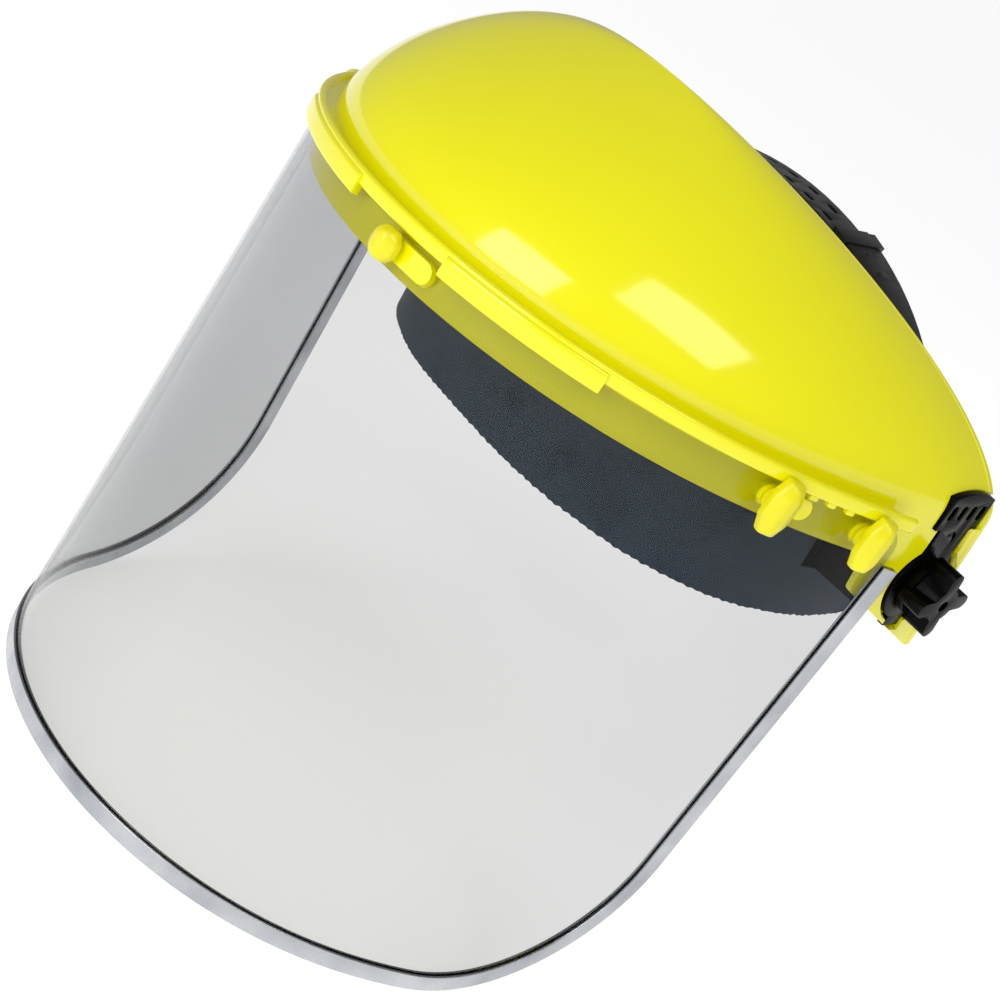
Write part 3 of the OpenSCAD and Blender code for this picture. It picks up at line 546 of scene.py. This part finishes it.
# ---- brow guard -------------------------------------------------------------------
def bead(u):
    """Height of the thin bead along the shell's rear edge."""
    t = (SHELL_END - 1.2 - np.abs(u)) / 2.2
    return 0.45 * np.where((t > 0) & (t < 1), np.sin(np.pi * np.clip(t, 0, 1)) ** 2, 0)


def shell_grid(inset, with_bead):
    """Rows of points from the dome's top to the foot of the wall, closer together at the rear edge."""
    half = np.concatenate([np.arange(0, 178, 2.5), np.arange(178, 190, 0.75),
                           np.linspace(190, SHELL_END - 5, 14), np.linspace(SHELL_END - 4.6, SHELL_END, 12)])
    u = np.concatenate([-half[:0:-1], half])
    swell = bead(u) if with_bead else 0
    rows = [dome_point(u, phi, inset, swell) for phi in np.radians(np.linspace(90, 0, 53))]
    base, foot = rows[-1], wall_foot(u, inset - swell)
    rows += [base * (1 - t) + foot * t for t in np.linspace(0, 1, 9)[1:]]
    return np.array(rows)


def wall_rib(a, b, outline, step=2.0):
    """Carries a section along the wall between arc lengths a and b."""
    count = max(2, int(round((b - a) / step)) + 1)
    rings = [[(*shell_plan(u, q[0]), q[1]) for q in outline] for u in np.linspace(a, b, count)]
    return sweep_solid([[np.array([float(c) for c in p]) for p in ring] for ring in rings])


def lip_outline():
    """Section of the lip over the visor's top edge, outward distance and height."""
    top = LIP_BOTTOM + 4.6
    section = [(-1.2, LIP_BOTTOM), (LIP_REACH, LIP_BOTTOM), (LIP_REACH, top), (LIP_REACH - 1.9, top),
               (LIP_REACH - 2.3, LIP_BOTTOM + 2.1), (-1.2, LIP_BOTTOM + 2.4)]
    return rounded(section, [0, 1.0, 1.0, 0.7, 0.9, 0], 5)


def skirt_outline():
    """Section of the thicker edge that hangs below the lip, outward distance and height."""
    inner, outer = LIP_REACH - 2.2, LIP_REACH + 0.8
    low, high = LIP_BOTTOM - 3.2, LIP_BOTTOM + 3.4
    return rounded([(inner, low), (outer, low), (outer, high), (inner, high)], [0.4, 0.9, 1.4, 0.3], 5)


def nib_outline():
    """Section of the small nibs under the lip."""
    low, high = LIP_BOTTOM - 1.4, LIP_BOTTOM + 0.5
    return rounded([(3.9, low), (5.9, low), (5.9, high), (3.9, high)], 0.3, 2)


def plate_outline(grow, arcs=40):
    """Side view of the stop plate: disc, neck, curved head and a short tail; grown all round."""
    disc, neck, head, tail = 13.5 + grow, 8 + grow, 11.5 + grow, 4 + grow
    top, shoulder, foot = 34 + grow, 20.5 - grow, -16.5 - grow
    head_angle = math.asin(head / top)
    neck_angle, tail_angle = math.asin(neck / disc), math.asin(tail / disc)

    def arc(radius, start, end, steps):
        return [(radius * math.sin(a), radius * math.cos(a)) for a in np.linspace(start, end, steps)]

    points = arc(top, -head_angle, head_angle, 13) + [(head, shoulder), (neck, shoulder)]
    points += arc(disc, neck_angle, math.pi - tail_angle, arcs) + [(tail, foot), (-tail, foot)]
    points += arc(disc, math.pi + tail_angle, 2 * math.pi - neck_angle, arcs)
    points += [(-neck, shoulder), (-head, shoulder)]
    lean = math.radians(PLATE_LEAN)
    turn = np.array([[math.cos(lean), math.sin(lean)], [-math.sin(lean), math.cos(lean)]])
    return np.array(points) @ turn


def prism(name, outline, low, high, matrix, taper=0):
    """A tool that runs along Z between low and high; taper widens its far end."""
    outline = np.asarray(outline, float)
    centre = outline.mean(0)
    wide = outline + (outline - centre) / np.linalg.norm(outline - centre, axis=1, keepdims=True) * taper
    rings = [[(*p, low) for p in outline], [(*p, high) for p in wide]]
    verts, faces = sweep_solid(rings)
    return add_piece(name, placed(verts, matrix), faces)


def circle(radius, steps=64):
    angles = np.linspace(0, 2 * math.pi, steps, endpoint=False)
    return np.stack([radius * np.cos(angles), radius * np.sin(angles)], -1)


def brow_guard():
    """The shell with its pivot pads, latch bosses, lip, skirts and nibs, as one mesh."""
    verts, faces = sheet_solid(shell_grid(0, True), shell_grid(SHELL_WALL, False))
    shell = add_piece("brow_guard_shell", verts, faces)
    bevel(shell, 0.55, 2, 50)
    parts = [shell]
    for side in (-1, 1):
        pad = add_piece("pad", *pivot_pad(side))
        parts.append(pad)
    for s, half in BOSSES:
        parts.append(prism("boss", stadium(half, 3.3), -6, 0.8, latch_matrix(s)))
    for side in (-1, 1):
        tool = prism("recess", plate_outline(0.4), PIVOT_FACE, PIVOT_FACE + 6, side_matrix(0, side), 2.4)
        boolean(shell, tool)
    parts.append(add_piece("lip", *wall_rib(-LIP_HALF, LIP_HALF, lip_outline())))
    for a, b in SKIRT_SPANS:
        parts.append(add_piece("skirt", *wall_rib(a, b, skirt_outline())))
    for side in (-1, 1):
        for u in NIB_PLACES:
            parts.append(add_piece("nib", *wall_rib(side * u - 1.5, side * u + 1.5, nib_outline(), 1)))
    for part in parts[3 + len(BOSSES):]:
        bevel(part, 0.3, 2, 60)
    guard = merge("brow_guard_shell", parts)
    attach(guard, "brow_guard")
    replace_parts(guard, "brow_guard")
    guard.data.materials.append(material("fluorescent_shell"))


def pivot_pad(side):
    verts, faces = extruded(circle(PAD_RADIUS), 0, PIVOT_FACE - PAD_INNER)
    return placed(verts, side_matrix(PAD_INNER, side)), faces


# ---- visor ---------------------------------------------------------------------------
def visor():
    """The clear sheet; its edge ends one millimetre inside the binding, and its top corners are round."""
    half, corner = VISOR_HALF - 1, VISOR_CORNER - 1
    bottom = VISOR_TOP - VISOR_HEIGHT + 1
    top_half, top_corner = 188, 8
    quarter = math.pi / 2
    s = np.concatenate([np.linspace(0, half - corner, 56)[:-1],
                        half - corner + corner * np.sin(np.linspace(0, 1, 34) * quarter)])
    corner_columns = top_half - top_corner + top_corner * np.sin(np.linspace(0, 1, 9) * quarter)
    s = np.unique(np.concatenate([s, corner_columns, [top_half + 0.05]]))
    s = np.concatenate([-s[:0:-1], s])
    a = np.abs(s)
    low = bottom + corner - np.sqrt(np.maximum(0, corner ** 2 - np.maximum(0, a - half + corner) ** 2))
    over = np.clip(a - top_half + top_corner, 0, top_corner)
    round_top = VISOR_TOP - top_corner + np.sqrt(np.maximum(0, top_corner ** 2 - over ** 2))
    high = np.where(a > top_half + 0.01, BINDING_START, round_top)
    rows = np.linspace(0, 1, 40)[:, None]
    z = high[None] * (1 - rows) + low[None] * rows
    grids = [visor_point(np.broadcast_to(s, z.shape), z, side * VISOR_THICKNESS / 2) for side in (1, -1)]
    sheet = add_piece("visor_sheet", *sheet_solid(*grids), "brow_guard", ["visor"], "clear_sheet")
    for place, half in BOSSES:
        boolean(sheet, prism("slot", stadium(half + 0.6, 3.7), -3, 3, latch_matrix(place)))


def edge_path():
    """Stations round the visor's edge: centre along the sheet, centre height and angle.

    The edge itself lies a corner radius out from each centre.
    """
    corner_s, corner_z = VISOR_HALF - VISOR_CORNER, VISOR_TOP - VISOR_HEIGHT + VISOR_CORNER
    right = [(corner_s, z, 0.0) for z in np.linspace(BINDING_START, corner_z, 44)[:-1]]
    right += [(corner_s, corner_z, a) for a in np.linspace(0, math.pi / 2, 41)]
    right += [(s, corner_z, math.pi / 2) for s in np.linspace(corner_s, 0, 54)[1:]]
    return right + [(-s, z, math.pi - a) for s, z, a in right[-2::-1]]


def binding():
    """Metal channel round the sides and the bottom of the sheet."""
    t, w = VISOR_THICKNESS / 2 + 0.04, VISOR_THICKNESS / 2 + 0.15 + BINDING_WALL
    outline = rounded([(0, -w), (0, w), (BINDING_WIDTH, w), (BINDING_WIDTH, t),
                       (0.85, t), (0.85, -t), (BINDING_WIDTH, -t), (BINDING_WIDTH, -w)],
                      [0.7, 0.7, 0.3, 0.1, 0.1, 0.1, 0.1, 0.3], 4)
    rings = []
    for s, z, a in edge_path():
        radius = VISOR_CORNER - outline[:, 0]
        rings.append(visor_point(s + radius * math.cos(a), z - radius * math.sin(a), outline[:, 1]))
    verts, faces = sweep_solid(rings)
    add_piece("visor_binding_channel", verts, faces, "brow_guard", ["visor_binding"], "binding_metal", 50)


def latch(name, s):
    """A turn latch: pin through the shell, neck and a roof-shaped wing; the middle one is short."""
    middle = name == "latch_centre"
    wing, face, under = (4.8, 2.2, 1.5) if middle else (LATCH_LENGTH / 2, LIP_REACH - 2.3, 1.5)
    base = [(x, y) for x, y in ((-4.8, -wing * 0.42), (-2.6, -wing), (2.6, -wing), (4.8, -wing * 0.42),
                                (4.8, wing * 0.42), (2.6, wing), (-2.6, wing), (-4.8, wing * 0.42))]
    points = [(x, y, face) for x, y in base] + [(x, y, face + 3) for x, y in base]
    points += [(x, y * wing * 0.84, face + 5) for x in (-0.5, 0.5) for y in (-1, 1)]
    points += [(x, y * wing * 0.5, face + 5.6) for x in (-1.4, 1.4) for y in (-1, 1)]
    work = bmesh.new()
    for p in points:
        work.verts.new(p)
    bmesh.ops.convex_hull(work, input=work.verts)
    bmesh.ops.dissolve_limit(work, angle_limit=math.radians(2), verts=work.verts, edges=work.edges)
    body = bpy.data.meshes.new("wing")
    work.to_mesh(body)
    work.free()
    verts = [v.co for v in body.vertices]
    faces = [tuple(f.vertices) for f in body.polygons]
    matrix = latch_matrix(s)
    wing_piece = add_piece(name + "_wing", placed(verts, matrix), faces)
    bevel(wing_piece, 0.9, 4, 12, 60)
    profile = [(0.01, -9.6), (3, -9.6), (4, -8.2), (2.5, -8.2), (2.5, under), (3.7, under), (4, under + 0.3),
               (4, face + 0.5), (0.01, face + 0.5)]
    rings = [[(r * math.cos(a), r * math.sin(a), z) for r, z in profile]
             for a in np.linspace(0, 2 * math.pi, 48, endpoint=False)]
    shank = add_piece("shank", *placed_solid(sweep_solid(rings, True), matrix))
    piece = merge(name + "_wing", [wing_piece, shank])
    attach(piece, name)
    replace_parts(piece, name)
    piece.data.materials.append(material("fluorescent_latch"))


def placed_solid(solid, matrix):
    return placed(solid[0], matrix), solid[1]


# ---- soft goods ------------------------------------------------------------------------
HEADGEAR = Matrix.Rotation(math.radians(BAND_TILT), 4, "X")
NAPE = (HEADGEAR @ Matrix.Translation((0, BAND_MIDDLE, BAND_LEVEL))
        @ Matrix.Rotation(math.radians(-NAPE_SLOPE), 4, "X"))


def front_plan(a, off):
    """X and Y of the band at angle a in degrees from its middle, moved outward by off.

    Past 90 degrees the band runs straight back.
    """
    turn = np.radians(np.clip(a, -90, 90))
    x = np.sign(turn) * (BAND_HALF + off) * np.abs(np.sin(turn)) ** 0.8
    back = 1.5 * np.maximum(0, np.abs(a) - 90)
    return x, BAND_MIDDLE - (BAND_FRONT + off) * np.maximum(0, np.cos(turn)) ** 0.8 + back


def even_angles(reach, step):
    """Angles along the band's front whose places are about step millimetres apart."""
    fine = np.linspace(-reach, reach, 2001)
    x, y = front_plan(fine, 0)
    run = np.concatenate([[0], np.cumsum(np.hypot(np.diff(x), np.diff(y)))])
    return np.interp(np.linspace(0, run[-1], int(run[-1] / step) + 1), run, fine), run[-1]


def inflate(piece, voxel, cap, pressure=4.0, frames=20):
    """Swells a soft piece by a short cloth simulation; no point moves further than cap millimetres."""
    grid = piece.modifiers.new("grid", "REMESH")
    grid.mode, grid.voxel_size = "VOXEL", voxel * MM
    freeze(piece, 180)
    start = np.array([v.co for v in piece.data.vertices])
    cloth_move = piece.modifiers.new("cloth", "CLOTH")
    cloth_move.settings.use_pressure = True
    cloth_move.settings.uniform_pressure_force = pressure
    cloth_move.settings.effector_weights.gravity = 0
    cloth_move.point_cache.frame_start, cloth_move.point_cache.frame_end = 1, frames
    for number in range(1, frames + 1):
        bpy.context.scene.frame_set(number)
    moved = piece.evaluated_get(bpy.context.evaluated_depsgraph_get())
    shift = np.array([v.co for v in moved.data.vertices]) - start
    bpy.context.scene.frame_set(1)
    piece.modifiers.clear()
    far = np.linalg.norm(shift, axis=1, keepdims=True) + 1e-12
    shift *= cap * MM * np.tanh(far / (cap * MM)) / far
    piece.data.vertices.foreach_set("co", (start + shift).ravel())
    soft_edge = piece.modifiers.new("smooth", "SUBSURF")
    soft_edge.levels = soft_edge.render_levels = 1
    freeze(piece, 180)


# The sweatband: degrees each side of the middle, then heights and lengths in millimetres
SLEEVE_REACH, FLAP_REACH, ARM_START = 72, 99.6, 73.6
FLAP_TOP, FLAP_UNDER_ARM, FLAP_LOW = 4.9, -16.4, -35
FLAP_FALL, FLAP_CORNER, PINK_STEP = 40.4, 14, 3.1


def sweatband():
    """Foam sleeve inside the band, hooked over its top, and the fabric flap that hangs outside it."""
    hook = rounded([(-8.1, -31), (-3.3, -31), (-3.3, 5.5), (2.3, 5.5), (2.3, 7.2), (-8.1, 7.2)],
                   [1.5, 1, 0.8, 0.5, 0.6, 1.5], 3)
    angles, run = even_angles(SLEEVE_REACH, 3.0)
    rings = []
    for a in angles:
        x, y = front_plan(a, hook[:, 0])
        rings.append(np.stack([x, y, hook[:, 1]], -1))
    verts, faces = sweep_solid(rings)
    pad = add_piece("sweatband_pad", placed(verts, HEADGEAR), faces, "headgear", ["sweatband"],
                    "slate_fabric", 180)
    inflate(pad, 2.2, 0.7)

    angles, run = even_angles(FLAP_REACH, 0.8)
    columns, rows = len(angles), 34
    along = np.linspace(-run / 2, run / 2, columns)
    rng = np.random.default_rng(7)
    nicks = np.convolve(rng.normal(0, 1, columns + 8), np.hanning(5) / 2, "same")[4:-4]
    end = run / 2 - np.abs(along)
    low = FLAP_LOW + 0.45 * np.abs(np.sin(along * math.pi / PINK_STEP)) + 0.16 * nicks
    low = low + 11 * (1 - np.sqrt(np.clip(1 - np.clip(1 - end / FLAP_CORNER, 0, 1) ** 2, 0, 1)))
    high = np.where(np.abs(angles) < ARM_START, FLAP_TOP, FLAP_UNDER_ARM - 2 * ease((8 - end) / 8))
    t = np.linspace(0, 1, rows)[:, None]
    z = high[None] * (1 - t) + low[None] * t
    fall = np.clip((FLAP_TOP - z) / 40, 0, 1)
    wave = np.sin(along / 13.0 + 0.8 * np.sin(along / 31.0)) + 0.5 * np.sin(along / 5.3 + z / 9)
    ripple = 0.28 * fall * wave
    grids = []
    for off in (2.5, 1.5):
        x, y = front_plan(np.broadcast_to(angles, z.shape), off + 0.35 + ripple - 0.3 * (1 - fall))
        grids.append(np.stack([x, y, z], -1))
    verts, faces = sheet_solid(*grids)
    flap = add_piece("sweatband_cloth", placed(verts, HEADGEAR), faces, "headgear", ["sweatband_flap"],
                     "slate_fabric", 60)


def nape_pad():
    """Foam pad between the nape and the ratchet, its edge tapered and softened."""
    outline = rounded([(-41, -14), (41, -14), (41, 14), (-41, 14)], 9, 8)
    rings = [[(*(np.asarray(p) * k), z) for p in outline]
             for k, z in ((0.97, 79.6), (1.0, 80.4), (1.0, 82.6), (0.985, 83.6))]
    turned = [[(x, z, y) for x, y, z in ring] for ring in rings]
    verts, faces = sweep_solid(turned)
    pad = add_piece("nape_pad_foam", placed(verts, NAPE), faces, "headgear", ["nape_pad"], "nape_foam", 180)
    inflate(pad, 1.6, 0.8)


# ---- scene -----------------------------------------------------------------------------
def dress(node, slot, width=0.3, segments=2, sharp=32):
    """A CAD node's own shape with rounded edges, in its place."""
    source = frame["nodes"][node]
    work = bmesh.new()
    work.from_mesh(source.data)
    bmesh.ops.remove_doubles(work, verts=work.verts, dist=2e-6)
    bmesh.ops.dissolve_limit(work, angle_limit=math.radians(1), verts=work.verts, edges=work.edges)
    mesh = bpy.data.meshes.new(node + "_dressed")
    work.to_mesh(mesh)
    work.free()
    mesh.materials.clear()
    piece = bpy.data.objects.new(node + "_dressed", mesh)
    bpy.context.scene.collection.objects.link(piece)
    piece.data.materials.append(material(slot))
    bevel(piece, width, segments, 38, sharp)
    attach(piece, source["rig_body"])
    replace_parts(piece, node)


SLOTS = {part["node"]: part["material_slot"] for part in frame["record"]["subparts"]}
# The camera stands as in the photo; metres, degrees and millimetres of film
CAMERA_PLACE = (0.36011, -0.57054, 0.15839)
CAMERA_YAW, CAMERA_PITCH, CAMERA_ROLL = (math.radians(a) for a in (33.917, -19.212, 34.323))
FILM_WIDTH, FOCAL_LENGTH = 36, 74.55
FLOOR_REACH, FLOOR_GAP = 40.0, 0.0005
# Each soft box: place, aim, turn in its own plane in degrees, width, height and power
SOFT_BOXES = {
    "front_box": ((0.08, -1.40, 0.457), (0, -0.146, 0.188), 0, 0.68, 0.9, 9.0),
    "side_box": ((0.886, -0.558, 0.951), (0.07, -0.12, 0.04), -30, 0.92, 0.47, 5.0)}


def studio():
    """Pale floor and backdrop, soft boxes and the camera."""
    camera = bpy.data.objects.new("camera", bpy.data.cameras.new("camera"))
    bpy.context.scene.collection.objects.link(camera)
    camera.location = CAMERA_PLACE
    level = Matrix.Rotation(CAMERA_YAW, 4, "Z") @ Matrix.Rotation(math.pi / 2 + CAMERA_PITCH, 4, "X")
    camera.rotation_euler = (level @ Matrix.Rotation(CAMERA_ROLL, 4, "Z")).to_euler()
    camera.data.sensor_width = FILM_WIDTH
    camera.data.lens = FOCAL_LENGTH
    camera.data.clip_start = 0.01
    bpy.context.scene.camera = camera

    floor_mesh = bpy.data.meshes.new("floor")
    height = float(cad_low.z) - FLOOR_GAP
    corners = [(x * FLOOR_REACH, y * FLOOR_REACH, height) for x, y in ((-1, -1), (1, -1), (1, 1), (-1, 1))]
    floor_mesh.from_pydata(corners, [], [(0, 1, 2, 3)])
    floor = bpy.data.objects.new("floor", floor_mesh)
    bpy.context.scene.collection.objects.link(floor)
    pale = new_material("floor_paint", Base_Color=(0.93, 0.93, 0.93), Roughness=0.9, Specular_IOR_Level=0.1,
                        Emission_Color=(1, 1, 1), Emission_Strength=0.64)
    floor_mesh.materials.append(pale)

    world = bpy.data.worlds.new("world")
    world.use_nodes = True
    world.node_tree.nodes["Background"].inputs["Color"].default_value = (1, 1, 1, 1)
    world.node_tree.nodes["Background"].inputs["Strength"].default_value = 0.33
    bpy.context.scene.world = world
    bpy.context.scene.view_settings.view_transform = "Standard"

    for name, (place, aim, roll, size_x, size_y, power) in SOFT_BOXES.items():
        lamp = bpy.data.lights.new(name, "AREA")
        lamp.shape, lamp.size, lamp.size_y, lamp.energy = "RECTANGLE", size_x, size_y, power
        box = bpy.data.objects.new(name, lamp)
        box.location = place
        turn = (Vector(aim) - Vector(place)).to_track_quat("-Z", "Y").to_matrix()
        box.rotation_euler = (turn @ Matrix.Rotation(math.radians(roll), 3, "Z")).to_euler()
        bpy.context.scene.collection.objects.link(box)


studio()
brow_guard()
visor()
binding()
for name, s in LATCH_PLACES.items():
    latch(name, s)
sweatband()
nape_pad()

# Rounded edges of the remaining pieces, in millimetres
EDGES = {
    "stop_plate": 0.35, "pivot_knob": 0.7, "headband": 0.3, "crown_strap": 0.3, "pivot_arm": 0.5,
    "ratchet_housing": 0.8, "ratchet_cover": 0.7, "ratchet_knob": 0.5, "rack": 0.12,
    "ratchet_pinion": 0.08, "strap_rivets": 0.35, "arm_rivets": 0.35, "cover_screws": 0.25,
    "knob_screw": 0.3, "pivot_bolt": 0.25, "friction_washer": 0.15, "knob_insert": 0.15}
DONE = {n for o in bpy.context.scene.objects for n in o.get("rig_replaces", [])}
for node in sorted(set(frame["nodes"]) - DONE):
    width = next(w for start, w in EDGES.items() if node.startswith(start))
    dress(node, SLOTS[node], width, 3 if width >= 0.5 else 2)
